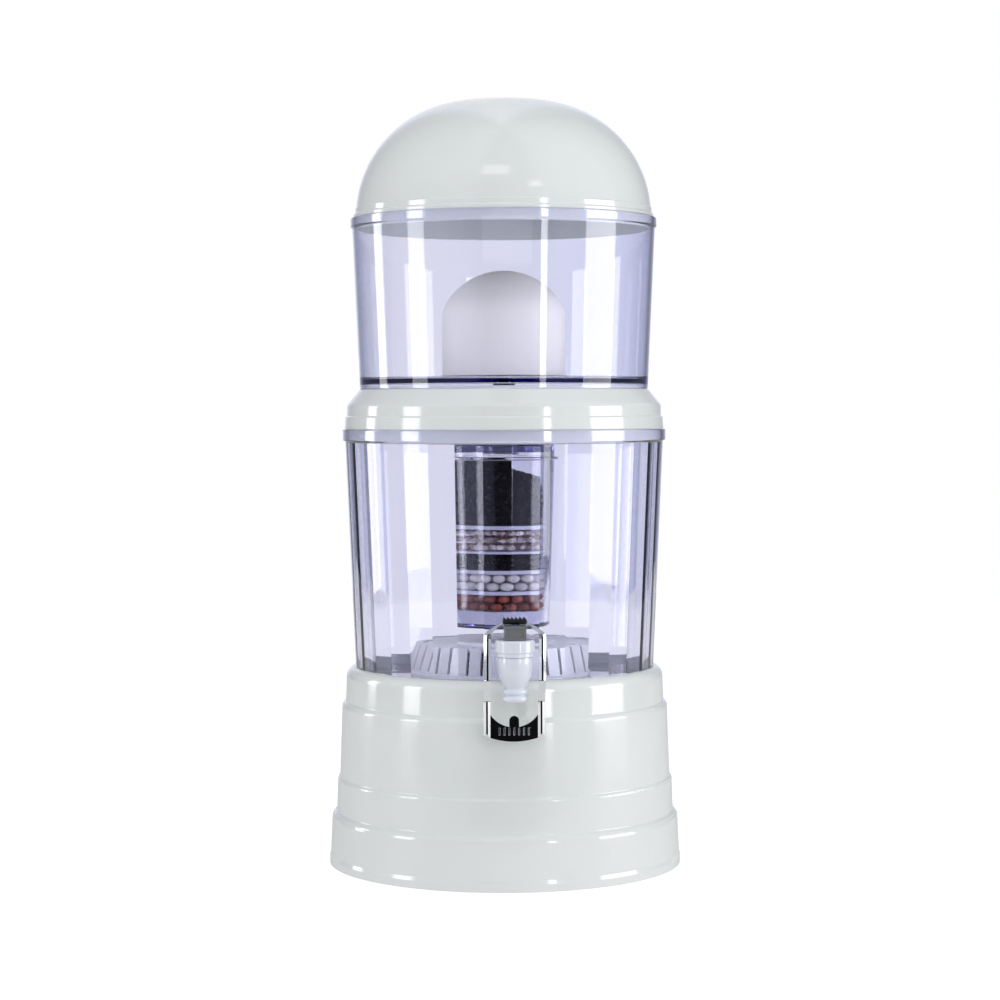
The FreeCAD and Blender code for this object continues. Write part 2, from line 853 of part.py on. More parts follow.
def make_case_cover():
    """Turning cover of the filling hole: a flat top with a grip bar and a short skirt."""
    top = case_lid_z
    skirt_r = case_cover_r - case_cover_lip - case_fit
    cover = turned([
        (0, top, 0),
        (skirt_r - case_wall, top, 0.6),
        (skirt_r - case_wall, top - case_cover_skirt, 0),
        (skirt_r, top - case_cover_skirt, 0),
        (skirt_r, top, 0),
        (case_cover_r, top, 0),
        (case_cover_r, top + case_cover_t, 0.9),
        (0, top + case_cover_t, 0),
    ])
    grip_z = top + case_cover_t
    half = case_grip_w / 2
    grip = block(case_cover_r * 0.55, -half, half, grip_z - 0.2, grip_z + case_grip_h)
    return cover.fuse(grip).removeSplitter()


def make_mineral_stones():
    low = tank_floor_z + case_wall
    outer = case_ring_r(low + stone_fill_h) - case_wall - 2 * case_fit
    return turned([
        (0, low, 0), (outer, low, 2.0), (outer, low + stone_fill_h * 0.75, 3.0),
        (outer * 0.6, low + stone_fill_h, 4.0), (0, low + stone_fill_h, 0),
    ])


# Separator
def make_separator():
    top = sep_top_z
    rest = tank_top_z
    step_z = rest + sep_step_h
    mouth_r = tank_r(tank_top_z - tank_rim_h) - tank_mouth_wall
    plug_outer = mouth_r - sep_plug_gap
    plug_inner = plug_outer - sep_wall
    skirt_z = rest - sep_plug_depth
    brim_r = sep_band_r + sep_step + 0.7
    seat_r = upper_foot_r - upper_wall - sep_seat_gap
    inner_band = sep_band_r - sep_wall
    pocket_r = max(plug_outer - 0.4, plug_inner + 0.2)
    well_out = sep_well_r + sep_wall
    spigot_z = collar_z - sep_spigot_h
    corners = [
        (sep_well_r, top, 1.5),
        (seat_r - sep_wall, top, 0.3),
        (seat_r - sep_wall, top + sep_seat_h, 0.6),
        (seat_r, top + sep_seat_h, 0.6),
        (seat_r, top, 0.3),
        (sep_top_r, top, 3.0),
        (sep_band_r, top - sep_cone_h, 5.0),
        (sep_band_r + 0.1, step_z + 1.0, 0.6),
        (sep_band_r + sep_step, step_z, 0.7),
        (brim_r, rest, 1.0),
        (plug_outer, rest, 0.2),
        (plug_outer, skirt_z, 0.8),
        (plug_inner, skirt_z, 0.8),
        (plug_inner, rest + sep_wall, 0.2),
        (pocket_r, rest + sep_wall, 0.1),
        (inner_band - 0.6, top - sep_cone_h - 0.8, 3.5),
        (sep_top_r - 1.0, top - sep_wall, 2.0),
        (well_out, top - sep_wall, 1.5),
        (well_out, collar_z + sep_wall, 1.5),
        (sep_collar_r, collar_z + sep_wall, 0.8),
        (sep_collar_r, collar_z, 0.8),
        (sep_spigot_r, collar_z, 0.4),
        (sep_spigot_r, spigot_z, 0.6),
        (sep_spigot_bore_r, spigot_z, 0.6),
        (sep_spigot_bore_r, collar_z + sep_wall, 0.8),
        (sep_well_r, collar_z + sep_wall, 2.5),
    ]
    return turned(corners)


# Cartridge
def make_cup():
    low = cup_foot_z
    top = cup_top_z
    inner_low = low + cup_floor_t
    cup = turned([
        (0, low, 0),
        (cup_foot_r, low, 2.0),
        (cup_r(top - cup_flange_t), top - cup_flange_t, 0.5),
        (cup_flange_r, top - cup_flange_t, 0.4),
        (cup_flange_r, top, 0.4),
        (cup_r(top) - cup_wall, top, 0.3),
        (cup_r(inner_low) - cup_wall, inner_low, 0),
        (0, inner_low, 0),
    ])
    return ring_of_holes(cup, cup_hole_r, cup_hole_ring_r, cup_holes, low - 1, cup_floor_t + 2)


def make_cap():
    """Cap of the cup: a ribless ring wall, a top with the gasket's groove, and the socket."""
    low = cup_top_z
    top = cap_top_z
    groove_z = collar_z - gasket_t
    socket_r = sep_spigot_r + spigot_gap
    return turned([
        (cup_top_r - cup_wall, low, 0),
        (cup_top_r, low, 0.3),
        (cup_top_r, top, 1.2),
        (gasket_in_r + gasket_w + 0.3, top, 0),
        (gasket_in_r + gasket_w + 0.3, groove_z, 0),
        (gasket_in_r - 0.3, groove_z, 0),
        (gasket_in_r - 0.3, top, 0),
        (socket_r, top, 0),
        (socket_r, top - 2 * cap_t - sep_spigot_h * 0.4, 0),
        (socket_r + cap_t, top - 2 * cap_t - sep_spigot_h * 0.4, 0),
        (socket_r + cap_t, top - 2 * cap_t, 0.5),
        (cup_top_r - cup_wall, top - 2 * cap_t, 1.0),
    ])


def make_cartridge_gasket():
    low = collar_z - gasket_t
    outer_r = gasket_in_r + gasket_w
    return turned([
        (gasket_in_r, low, 0.4), (outer_r, low, 0.4),
        (outer_r, collar_z, 0.4), (gasket_in_r, collar_z, 0.4),
    ])


def bed(z, height, gap=None):
    """Filling of the cup between two heights, just inside its tapered wall."""
    room = cup_wall + (bed_gap if gap is None else gap)
    return Part.makeCone(cup_r(z) - room, cup_r(z + height) - room, height, vec(0, 0, z), vec(0, 0, 1))


def bed_levels():
    """Foot and height of each layer, counted up from the cup's floor."""
    names = ["outlet_pad", "red_ball_bed", "disc_1", "white_ball_bed", "disc_2",
             "carbon_lower", "disc_3", "stone_bed", "disc_4"]
    heights = [pad_h, red_bed_h, disc_1_t, white_bed_h, disc_2_t,
               lower_carbon_h, disc_3_t, stone_bed_h, disc_4_t]
    levels = {}
    z = cup_foot_z + cup_floor_t
    for name, height in zip(names, heights):
        levels[name] = (z, height)
        z += height
    levels["carbon_upper"] = (z, cup_top_z - carbon_head - z)
    return levels


def make_carbon_upper():
    """Heap of carbon, level at the left and fallen away towards the right."""
    z, height = bed_levels()["carbon_upper"]
    heap = bed(z, height)
    reach = cup_top_r
    top = z + height
    wedge = front_plate([
        (-reach * 0.3, top, 12.0), (reach, top - carbon_slope, 0),
        (reach, top + 2, 0), (-reach * 0.3, top + 2, 0),
    ], -reach, reach)
    return heap.cut(wedge)


# Upper tank
def make_upper_tank():
    low = sep_top_z
    top = upper_top_z
    rim_z = top - upper_rim_h
    rim_r = upper_r(top) + upper_rim_out
    under = upper_floor_z - upper_floor_t
    tank = turned([
        (upper_foot_r - upper_wall, low, 0.6),
        (upper_foot_r, low, 0.6),
        (upper_r(rim_z), rim_z, 1.0),
        (rim_r, rim_z + 1.2, 1.0),
        (rim_r, top, 0.8),
        (upper_r(top) - upper_wall, top, 0.4),
        (upper_r(upper_floor_z) - upper_wall, upper_floor_z, 2.5),
        (stem_r + stem_hole_gap, upper_floor_z, 0),
        (stem_r + stem_hole_gap, under, 0),
        (upper_r(under) - upper_wall, under, 1.0),
    ])
    return tank


def base_z():
    """Underside of the ceramic's base, on its washer."""
    return upper_floor_z + washer_t


def dome_z():
    return base_z() + base_t


def make_dome():
    foot = dome_z()
    side_z = foot + dome_side_h
    outer, apex = crown_edges(dome_r, side_z, dome_shoulder_r, dome_crown_r)
    inner, hollow = crown_edges(
        dome_r - dome_wall, side_z, dome_shoulder_r - dome_wall, dome_crown_r - dome_wall
    )
    inner_r = dome_r - dome_wall
    edges = outer + inner + [
        line(vec(dome_r, 0, foot), vec(dome_r, 0, side_z)),
        line(vec(inner_r, 0, foot), vec(inner_r, 0, side_z)),
        line(vec(inner_r, 0, foot), vec(dome_r, 0, foot)),
        line(vec(0, 0, hollow), vec(0, 0, apex)),
    ]
    return turned_wire(edges)


def make_base():
    plug_r_out = dome_r - dome_wall - base_plug_gap
    stem_end = upper_floor_z - upper_floor_t - stem_drop
    top = dome_z() + base_plug_h
    return turned([
        (stem_bore_r, stem_end, 0),
        (stem_r, stem_end, 0.8),
        (stem_r, base_z(), 0),
        (base_r, base_z(), 0.4),
        (base_r, dome_z(), 0.4),
        (plug_r_out, dome_z(), 0),
        (plug_r_out, top, 0.8),
        (plug_r_out - 3.0, top, 0),
        (plug_r_out - 3.0, dome_z(), 0),
        (stem_bore_r, dome_z(), 0),
    ])


def make_stem_washer():
    ring = disc(washer_r, upper_floor_z, washer_t)
    return ring.cut(disc(stem_r + stem_hole_gap, upper_floor_z - 1, washer_t + 2))


def make_wing_nut():
    top = upper_floor_z - upper_floor_t
    low = top - nut_h
    hub = turned([(0, low, 0), (nut_hub_r - 1.2, low, 1.0), (nut_hub_r, top, 0), (0, top, 0)])
    wing = front_plate([
        (-nut_wing_r + 3, low, 3.0), (0, low + 2.5, 0), (nut_wing_r - 3, low, 3.0),
        (nut_wing_r, top - 1.5, 3.0), (nut_hub_r * 0.7, top - 3.0, 0),
        (-nut_hub_r * 0.7, top - 3.0, 0), (-nut_wing_r, top - 1.5, 3.0),
    ], -nut_wing_t / 2, nut_wing_t / 2)
    bore = disc(stem_r + nut_bore_gap, low - 1, nut_h + 2)
    return hub.fuse(wing).cut(bore).removeSplitter()


# Lid
def make_lid():
    low = upper_top_z
    side_z = low + lid_flange_t / 2
    outer, apex = crown_edges(lid_side_r, side_z, lid_shoulder_r, lid_crown_r)
    inner_r = lid_side_r - lid_wall
    inner, hollow = crown_edges(
        inner_r, side_z, lid_shoulder_r - lid_wall, lid_crown_r - lid_wall
    )
    dome = turned_wire(outer + inner + [
        line(vec(inner_r, 0, side_z), vec(lid_side_r, 0, side_z)),
        line(vec(0, 0, hollow), vec(0, 0, apex)),
    ])
    plug_r_out = upper_r(upper_top_z) - upper_wall - lid_plug_gap
    plug_low = low - lid_plug_depth
    plug_foot_r = upper_r(plug_low) - upper_wall - lid_plug_gap
    flange = turned([
        (plug_foot_r - lid_wall, plug_low, 0.6),
        (plug_foot_r, plug_low, 0.6),
        (plug_r_out, low, 0.2),
        (lid_flange_r, low, 0.8),
        (lid_flange_r, low + lid_flange_t, 1.0),
        (lid_side_r + lid_bead, low + lid_flange_t + 0.6, 0.3),
        (lid_side_r + lid_bead, low + lid_flange_t + lid_bead_h, 0.8),
        (lid_side_r - lid_wall / 2, low + lid_flange_t + lid_bead_h + 1.2, 0),
        (plug_foot_r - lid_wall, low + lid_flange_t, 0),
    ])
    return dome.fuse(flange).removeSplitter()


def layer(name):
    z, height = bed_levels()[name]
    return bed(z, height)


def make_discs():
    """The four discs that part the beds: separate solids, each a size larger than its beds."""
    return Part.makeCompound([layer("disc_%d" % n) for n in (1, 2, 3, 4)])


nodes = {
    "stand": make_stand(),
    "lower_tank": make_lower_tank(),
    "tap_body": make_tap_body(),
    "tap_bonnet": make_bonnet(),
    "tap_outer_gasket": make_outer_gasket(),
    "tap_inner_gasket": make_inner_gasket(),
    "tap_nut": make_tap_nut(),
    "tap_valve_plug": make_valve_plug(),
    "tap_stem": make_valve_stem(),
    "tap_spring": make_spring(),
    "lever_block": make_lever_block(),
    "lever_pin": make_lever_pin(),
    "lever_frame": make_lever_frame(),
    "thumb_grip": make_thumb_grip(),
    "case_tray": make_case_tray(),
    "case_lid": make_case_lid(),
    "case_cover": make_case_cover(),
    "mineral_stones": make_mineral_stones(),
    "separator": make_separator(),
    "cartridge_cup": make_cup(),
    "cartridge_cap": make_cap(),
    "cartridge_gasket": make_cartridge_gasket(),
    "outlet_pad": layer("outlet_pad"),
    "red_ball_bed": layer("red_ball_bed"),
    "white_ball_bed": layer("white_ball_bed"),
    "carbon_lower": layer("carbon_lower"),
    "stone_bed": layer("stone_bed"),
    "carbon_upper": make_carbon_upper(),
    "cartridge_discs": make_discs(),
    "upper_tank": make_upper_tank(),
    "ceramic_dome": make_dome(),
    "ceramic_base": make_base(),
    "stem_washer": make_stem_washer(),
    "wing_nut": make_wing_nut(),
    "lid": make_lid(),
}

os.makedirs("parts", exist_ok=True)
for name, shape in nodes.items():
    shape.exportStep("parts/%s.step" % name)
    box = shape.BoundBox
    print("%-18s solids %d valid %s volume %9.1f  z %7.2f to %7.2f  widest %6.2f" % (
        name, len(shape.Solids), shape.isValid(), shape.Volume, box.ZMin, box.ZMax, box.XMax))
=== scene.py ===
import math
import random

import bpy
from mathutils import Euler, Matrix, Vector


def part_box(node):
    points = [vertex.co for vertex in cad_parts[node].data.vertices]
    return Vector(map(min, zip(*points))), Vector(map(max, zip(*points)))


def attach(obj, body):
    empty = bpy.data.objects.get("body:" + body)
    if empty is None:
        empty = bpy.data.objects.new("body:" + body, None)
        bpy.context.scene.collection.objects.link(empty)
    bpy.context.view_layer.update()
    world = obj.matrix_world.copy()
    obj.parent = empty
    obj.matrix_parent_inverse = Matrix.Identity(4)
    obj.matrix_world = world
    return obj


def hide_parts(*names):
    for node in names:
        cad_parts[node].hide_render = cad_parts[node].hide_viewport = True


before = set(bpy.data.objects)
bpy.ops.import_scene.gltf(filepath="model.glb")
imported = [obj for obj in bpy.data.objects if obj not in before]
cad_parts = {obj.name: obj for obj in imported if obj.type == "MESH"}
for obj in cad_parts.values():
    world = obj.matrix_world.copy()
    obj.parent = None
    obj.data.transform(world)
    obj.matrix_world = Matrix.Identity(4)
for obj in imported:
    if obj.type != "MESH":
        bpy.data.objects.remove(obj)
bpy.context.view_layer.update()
bpy.ops.object.select_all(action="DESELECT")


# The setting: a pale table top, a white room and soft boxes on stands.
# The room is dark straight behind the camera, as a studio is, so that the glass shows its contents.
camera_focal_px = 2453.0
camera_away = 1.9986
camera_height = 0.3724
camera_down = math.radians(2.244)
camera_side = math.radians(-2.65)
camera_aim_left = 0.0016
camera_roll = 0.0026

camera_data = bpy.data.cameras.new("photo_camera")
camera_data.sensor_width = 36.0
camera_data.lens = camera_focal_px / 1000 * camera_data.sensor_width
camera_data.clip_end = 50.0
camera = bpy.data.objects.new("photo_camera", camera_data)
bpy.context.scene.collection.objects.link(camera)
camera.location = (
    camera_away * math.sin(camera_side), -camera_away * math.cos(camera_side), camera_height,
)
camera.rotation_euler = (math.pi / 2 - camera_down, camera_roll, camera_side + camera_aim_left)
bpy.context.scene.camera = camera
bpy.context.scene.view_settings.view_transform = "Standard"


def fresh_tree(material):
    """Empty node tree of a new material, with its output."""
    material.use_nodes = True
    tree = material.node_tree
    tree.nodes.clear()
    return tree, tree.nodes.new("ShaderNodeOutputMaterial")


def table_top_finish():
    """Pale satin top: white to the camera and through the tanks, its own tone in reflections."""
    base_tone = 0.42
    lift_always = 0.28
    lift_when_seen = 0.52
    material = bpy.data.materials.new("table_top")
    tree, output = fresh_tree(material)
    shader = tree.nodes.new("ShaderNodeBsdfPrincipled")
    shader.inputs["Base Color"].default_value = (base_tone, base_tone, base_tone, 1)
    shader.inputs["Roughness"].default_value = 0.7
    shader.inputs["Specular IOR Level"].default_value = 0.2
    lift = tree.nodes.new("ShaderNodeEmission")
    both = tree.nodes.new("ShaderNodeAddShader")
    path = tree.nodes.new("ShaderNodeLightPath")
    seen = tree.nodes.new("ShaderNodeMath")
    seen.operation = "MAXIMUM"
    share = tree.nodes.new("ShaderNodeMath")
    share.operation = "MULTIPLY_ADD"
    share.inputs[1].default_value = lift_when_seen
    share.inputs[2].default_value = lift_always
    tree.links.new(path.outputs["Is Camera Ray"], seen.inputs[0])
    tree.links.new(path.outputs["Is Transmission Ray"], seen.inputs[1])
    tree.links.new(seen.outputs[0], share.inputs[0])
    tree.links.new(share.outputs[0], lift.inputs["Strength"])
    tree.links.new(shader.outputs[0], both.inputs[0])
    tree.links.new(lift.outputs[0], both.inputs[1])
    tree.links.new(both.outputs[0], output.inputs["Surface"])
    return material


# The top ends 0.58 m in front of the filter, so that the chromed plate mirrors the dark beyond it.
table_size = 3.2
table_front = 0.58
table_drop = 0.0004
bpy.ops.mesh.primitive_plane_add(
    size=table_size, location=(0, table_size / 2 - table_front, -table_drop)
)
table = bpy.context.object
table.name = "table_top"
table.data.materials.append(table_top_finish())


def white_room():
    """Room: white to the camera, and a dark front between grey sides in mirrors and clear walls.

    Whatever has bounced off a matt face is lit by one even level, also behind clear walls.
    """
    room_light = 0.49
    half_turn = 180.0
    mirror_tint = (0.84, 0.88, 1.08)
    tones_by_azimuth = (
        (0, 0.004), (19, 0.01), (25, 0.30), (40, 0.48), (90, 0.46), (110, 0.28), (150, 0.20),
        (162, 0.55), (169, 1.0),
    )
    world = bpy.data.worlds.new("white_room")
    bpy.context.scene.world = world
    world.use_nodes = True
    tree = world.node_tree
    tree.nodes.clear()
    output = tree.nodes.new("ShaderNodeOutputWorld")
    white = tree.nodes.new("ShaderNodeBackground")
    white.inputs["Color"].default_value = (1, 1, 1, 1)
    white.inputs["Strength"].default_value = 1.0
    lit = tree.nodes.new("ShaderNodeBackground")
    lit.inputs["Color"].default_value = (0.95, 0.97, 1.0, 1)
    lit.inputs["Strength"].default_value = room_light
    mirrored = tree.nodes.new("ShaderNodeBackground")
    place = tree.nodes.new("ShaderNodeTexCoord")
    split = tree.nodes.new("ShaderNodeSeparateXYZ")
    back = tree.nodes.new("ShaderNodeMath")
    back.operation = "MULTIPLY"
    back.inputs[1].default_value = -1.0
    turn = tree.nodes.new("ShaderNodeMath")
    turn.operation = "ARCTAN2"
    size = tree.nodes.new("ShaderNodeMath")
    size.operation = "ABSOLUTE"
    share = tree.nodes.new("ShaderNodeMath")
    share.operation = "DIVIDE"
    share.inputs[1].default_value = math.radians(half_turn)
    ramp = tree.nodes.new("ShaderNodeValToRGB")
    front_tone = tones_by_azimuth[0][1]
    ramp.color_ramp.elements[0].position = 0.0
    ramp.color_ramp.elements[0].color = (front_tone, front_tone, front_tone, 1)
    ramp.color_ramp.elements[1].position = 1.0
    ramp.color_ramp.elements[1].color = (1, 1, 1, 1)
    for degrees, tone in tones_by_azimuth[1:]:
        stop = ramp.color_ramp.elements.new(degrees / half_turn)
        stop.color = (*(tone * part for part in mirror_tint), 1)
    path = tree.nodes.new("ShaderNodeLightPath")
    turned_ray = tree.nodes.new("ShaderNodeMath")
    turned_ray.operation = "MAXIMUM"
    no_matt_bounce = tree.nodes.new("ShaderNodeMath")
    no_matt_bounce.operation = "LESS_THAN"
    no_matt_bounce.inputs[1].default_value = 0.5
    sees_ramp = tree.nodes.new("ShaderNodeMath")
    sees_ramp.operation = "MULTIPLY"
    first = tree.nodes.new("ShaderNodeMixShader")
    second = tree.nodes.new("ShaderNodeMixShader")
    tree.links.new(place.outputs["Generated"], split.inputs[0])
    tree.links.new(split.outputs["Y"], back.inputs[0])
    tree.links.new(split.outputs["X"], turn.inputs[0])
    tree.links.new(back.outputs[0], turn.inputs[1])
    tree.links.new(turn.outputs[0], size.inputs[0])
    tree.links.new(size.outputs[0], share.inputs[0])
    tree.links.new(share.outputs[0], ramp.inputs["Fac"])
    tree.links.new(ramp.outputs["Color"], mirrored.inputs["Color"])
    tree.links.new(path.outputs["Is Glossy Ray"], turned_ray.inputs[0])
    tree.links.new(path.outputs["Is Transmission Ray"], turned_ray.inputs[1])
    tree.links.new(path.outputs["Diffuse Depth"], no_matt_bounce.inputs[0])
    tree.links.new(turned_ray.outputs[0], sees_ramp.inputs[0])
    tree.links.new(no_matt_bounce.outputs[0], sees_ramp.inputs[1])
    tree.links.new(sees_ramp.outputs[0], first.inputs[0])
    tree.links.new(lit.outputs[0], first.inputs[1])
    tree.links.new(mirrored.outputs[0], first.inputs[2])
    tree.links.new(path.outputs["Is Camera Ray"], second.inputs[0])
    tree.links.new(first.outputs[0], second.inputs[1])
    tree.links.new(white.outputs[0], second.inputs[2])
    tree.links.new(second.outputs[0], output.inputs["Surface"])


white_room()


def soft_box(name, azimuth_deg, away, height, wide, tall, power, tilt_deg=4.0):
    """Soft box on a stand, at an azimuth counted from the front, turned to face the filter."""
    data = bpy.data.lights.new(name, "AREA")
    data.shape = "RECTANGLE"
    data.size = wide
    data.size_y = tall
    data.energy = power
    lamp = bpy.data.objects.new(name, data)
    bpy.context.scene.collection.objects.link(lamp)
    azimuth = math.radians(azimuth_deg)
    lamp.location = (away * math.sin(azimuth), -away * math.cos(azimuth), height)
    lamp.rotation_euler = (math.pi / 2 - math.radians(tilt_deg), 0, azimuth)
    return lamp


# The first six show in glossy faces, and the last two only light them.
soft_box("right_box", 74, 1.6, 0.38, 0.80, 0.72, 8)
soft_box("front_strip", 27, 1.7, 0.38, 0.14, 0.72, 1.9)
soft_box("left_box", -70, 1.7, 0.38, 0.42, 0.72, 4.0)
soft_box("left_back_strip", -110, 1.7, 0.38, 0.30, 0.72, 3)
soft_box("high_box", -9, 1.35, 1.59, 0.57, 0.30, 0.8, 37)
soft_box("high_strip", 22, 1.55, 1.25, 0.26, 0.12, 0.2, 24)
for hidden_box in (
    soft_box("top_box", 0, 0.9, 1.9, 1.4, 1.0, 8, 62),
    soft_box("front_fill", 0, 2.3, 0.9, 1.6, 1.0, 9, 12),
):
    hidden_box.visible_glossy = False


# Stand: one glossy white moulding, hollow underneath, whose side steps out three times.
# It is injection moulded, so its faces have a faint ripple and its steps are rounded.
# The lower tank drops into its seat and is held there by its own weight.
def moulding_marks():
    """Shader group: the faint ripple, cloudy gloss and fine dust of an injection moulding."""
    group = bpy.data.node_groups.new("moulding_marks", "ShaderNodeTree")
    face = group.interface
    face.new_socket("Colour", in_out="INPUT", socket_type="NodeSocketColor")
    for name in ("Tint Change", "Gloss", "Gloss Change", "Ripple Scale"):
        face.new_socket(name, in_out="INPUT", socket_type="NodeSocketFloat")
    face.new_socket("Colour", in_out="OUTPUT", socket_type="NodeSocketColor")
    face.new_socket("Roughness", in_out="OUTPUT", socket_type="NodeSocketFloat")
    face.new_socket("Height", in_out="OUTPUT", socket_type="NodeSocketFloat")
    entry = group.nodes.new("NodeGroupInput")
    leave = group.nodes.new("NodeGroupOutput")
    place = group.nodes.new("ShaderNodeTexCoord")
    ripple = group.nodes.new("ShaderNodeTexNoise")
    ripple.inputs["Detail"].default_value = 2.0
    cloud = group.nodes.new("ShaderNodeTexNoise")
    cloud.inputs["Scale"].default_value = 26.0
    cloud.inputs["Detail"].default_value = 4.0
    dust = group.nodes.new("ShaderNodeTexNoise")
    dust.inputs["Scale"].default_value = 900.0
    dust.inputs["Detail"].default_value = 3.0
    centred = group.nodes.new("ShaderNodeMath")
    centred.operation = "SUBTRACT"
    centred.inputs[1].default_value = 0.5
    gloss = group.nodes.new("ShaderNodeMath")
    gloss.operation = "MULTIPLY_ADD"
    shade = group.nodes.new("ShaderNodeMath")
    shade.operation = "MULTIPLY_ADD"
    shade.inputs[2].default_value = 1.0
    tone = group.nodes.new("ShaderNodeVectorMath")
    tone.operation = "SCALE"
    fine = group.nodes.new("ShaderNodeMath")
    fine.operation = "MULTIPLY_ADD"
    fine.inputs[1].default_value = 0.12
    join = group.links.new
    for texture in (ripple, cloud, dust):
        join(place.outputs["Object"], texture.inputs["Vector"])
    join(entry.outputs["Ripple Scale"], ripple.inputs["Scale"])
    join(cloud.outputs["Fac"], centred.inputs[0])
    join(centred.outputs[0], gloss.inputs[0])
    join(entry.outputs["Gloss Change"], gloss.inputs[1])
    join(entry.outputs["Gloss"], gloss.inputs[2])
    join(centred.outputs[0], shade.inputs[0])
    join(entry.outputs["Tint Change"], shade.inputs[1])
    join(entry.outputs["Colour"], tone.inputs[0])
    join(shade.outputs[0], tone.inputs["Scale"])
    join(dust.outputs["Fac"], fine.inputs[0])
    join(ripple.outputs["Fac"], fine.inputs[2])
    join(tone.outputs[0], leave.inputs["Colour"])
    join(gloss.outputs[0], leave.inputs["Roughness"])
    join(fine.outputs[0], leave.inputs["Height"])
    return group


marks = moulding_marks()


def marked_shader(tree, colour, gloss, ripple_scale, ripple, tint_change, gloss_change):
    """Principled shader fed by the moulding marks, for plastic, rubber and plated pieces."""
    shader = tree.nodes.new("ShaderNodeBsdfPrincipled")
    shader.inputs["Specular IOR Level"].default_value = 1.0
    finish = tree.nodes.new("ShaderNodeGroup")
    finish.node_tree = marks
    finish.inputs["Colour"].default_value = (*colour, 1)
    finish.inputs["Tint Change"].default_value = tint_change
    finish.inputs["Gloss"].default_value = gloss
    finish.inputs["Gloss Change"].default_value = gloss_change
    finish.inputs["Ripple Scale"].default_value = ripple_scale
    bump = tree.nodes.new("ShaderNodeBump")
    bump.inputs["Distance"].default_value = ripple
    tree.links.new(finish.outputs["Colour"], shader.inputs["Base Color"])
    tree.links.new(finish.outputs["Roughness"], shader.inputs["Roughness"])
    tree.links.new(finish.outputs["Height"], bump.inputs["Height"])
    tree.links.new(bump.outputs[0], shader.inputs["Normal"])
    return shader


def moulded_plastic(name, colour, gloss, ripple_scale=55.0, ripple=0.00004, tint_change=0.05):
    """Opaque moulded plastic of one colour."""
    material = bpy.data.materials.new(name)
    tree, output = fresh_tree(material)
    shader = marked_shader(tree, colour, gloss, ripple_scale, ripple, tint_change, gloss * 0.8)
    tree.links.new(shader.outputs[0], output.inputs["Surface"])
    return material


def dress(node, material):
    """Gives a node of the frame its material."""
    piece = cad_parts[node]
    piece.data.materials.clear()
    piece.data.materials.append(material)


white_moulding = moulded_plastic("white_moulding", (0.74, 0.765, 0.755), 0.10)
dress("stand", white_moulding)


# Mineral case: a low round tray with a crown of slats, moulded in white plastic.
# Its lid clips inside the crown and a cover turns in the lid's filling hole.
# It holds a heap of mineral stones and stands loose on the tank's floor.
case_white = moulded_plastic("case_white", (0.78, 0.785, 0.83), 0.3, 120.0)
for node in ("case_tray", "case_lid", "case_cover"):
    dress(node, case_white)


def chip_shapes(name, count, flatness, seed):
    """Templates for broken grains: low round lumps with their corners pushed about."""
    corner_push = 0.2
    draw = random.Random(seed)
    shapes = []
    for number in range(count):
        bpy.ops.object.select_all(action="DESELECT")
        bpy.ops.mesh.primitive_ico_sphere_add(subdivisions=1, radius=1.0)
        lump = bpy.context.object
        lump.name = "%s_%d" % (name, number)
        bpy.ops.object.mode_set(mode="EDIT")
        bpy.ops.mesh.select_all(action="SELECT")
        squeeze = (draw.uniform(0.7, 1.0), draw.uniform(0.6, 0.9), flatness)
        bpy.ops.transform.resize(value=squeeze)
        bpy.ops.object.mode_set(mode="OBJECT")
        for corner in lump.data.vertices:
            push = Vector((draw.uniform(-1, 1), draw.uniform(-1, 1), draw.uniform(-1, 1)))
            corner.co += corner_push * push
        shapes.append(lump)
    return shapes


def strewn(name, shapes, places, tones):
    """One mesh with a copy of a template at each place, each copy carrying its own tone."""
    points = []
    faces = []
    values = []
    for number, (place, tone) in enumerate(zip(places, tones)):
        source = shapes[number % len(shapes)].data
        first = len(points)
        points += [place @ corner.co for corner in source.vertices]
        faces += [tuple(first + index for index in face.vertices) for face in source.polygons]
        values += [tone] * len(source.vertices)
    mesh = bpy.data.meshes.new(name)
    mesh.from_pydata(points, [], faces)
    attribute = mesh.attributes.new("tone", "FLOAT", "POINT")
    attribute.data.foreach_set("value", values)
    for shape in shapes:
        bpy.data.objects.remove(shape)
    piece = bpy.data.objects.new(name, mesh)
    bpy.context.scene.collection.objects.link(piece)
    return piece


def tumbled(draw, middle, size):
    """Place of one grain: its middle, a random turn and its half length."""
    turn = Euler([draw.uniform(0, 2 * math.pi) for _ in range(3)])
    return Matrix.LocRotScale(middle, turn, Vector((size, size, size)))


